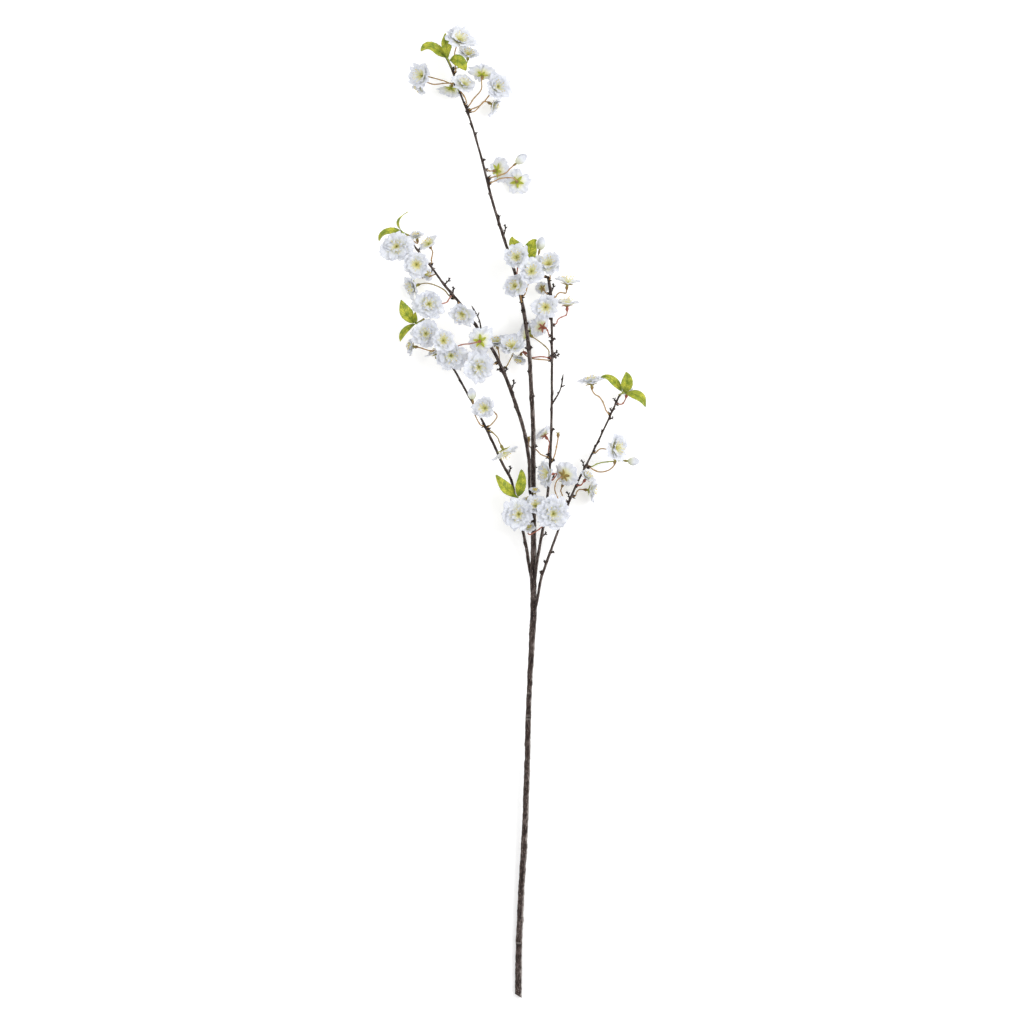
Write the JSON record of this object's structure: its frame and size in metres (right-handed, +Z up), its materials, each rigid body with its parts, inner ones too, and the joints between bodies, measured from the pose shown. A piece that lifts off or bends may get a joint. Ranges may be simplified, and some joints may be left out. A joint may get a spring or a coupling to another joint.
{
  "type": "cherry blossom sprig",
  "caption": "Tall branched spray of white cherry blossom with bare stem, side branches, stalked blossoms, buds and leaf shoots, lying flat",
  "frame": {"origin": "middle of the bounding box, on the surface that the spray lies on", "axes": "+Y along the stem from its cut end to its tip, +X to the right seen from above, +Z up from the surface"},
  "size_m": [0.3152, 1.1492, 0.0766],
  "materials": {
    "bark": "dark brown bark with low ridges, fine grey mottling and pale scar rings",
    "petal": "thin white petals with ruffled edges, a pale green throat and yellow stamens, on reddish brown stalks",
    "leaf": "yellow green leaves, satin, with darker veins"
  },
  "bodies": {
    "root": {"blossom_inner_1": "petal", "blossom_inner_10": "petal", "blossom_inner_2": "petal", "blossom_inner_3": "petal", "blossom_inner_4": "petal", "blossom_inner_5": "petal", "blossom_inner_6": "petal", "blossom_inner_7": "petal", "blossom_inner_8": "petal", "blossom_inner_9": "petal", "blossom_left_1": "petal", "blossom_left_10": "petal", "blossom_left_11": "petal", "blossom_left_12": "petal", "blossom_left_13": "petal", "blossom_left_14": "petal", "blossom_left_2": "petal", "blossom_left_3": "petal", "blossom_left_4": "petal", "blossom_left_5": "petal", "blossom_left_6": "petal", "blossom_left_7": "petal", "blossom_left_8": "petal", "blossom_left_9": "petal", "blossom_middle_1": "petal", "blossom_middle_2": "petal", "blossom_middle_3": "petal", "blossom_middle_4": "petal", "blossom_middle_5": "petal", "blossom_right_1": "petal", "blossom_right_2": "petal", "blossom_right_3": "petal", "blossom_right_4": "petal", "blossom_right_5": "petal", "blossom_right_6": "petal", "blossom_top_1": "petal", "blossom_top_2": "petal", "blossom_top_3": "petal", "blossom_top_4": "petal", "blossom_top_5": "petal", "blossom_top_6": "petal", "blossom_top_7": "petal", "blossom_top_8": "petal", "blossom_upper_1": "petal", "blossom_upper_2": "petal", "branch_left_lower": "bark", "branch_left_upper": "bark", "branch_right_inner": "bark", "branch_right_outer": "bark", "bud_inner": "petal", "bud_left": "petal", "bud_right": "petal", "bud_upper": "petal", "leaf_shoot_inner": "leaf", "leaf_shoot_left_lower": "leaf", "leaf_shoot_left_upper": "leaf", "leaf_shoot_middle": "leaf", "leaf_shoot_right_outer": "leaf", "leaf_shoot_top": "leaf", "main_stem": "bark"}
  },
  "joints": []
}
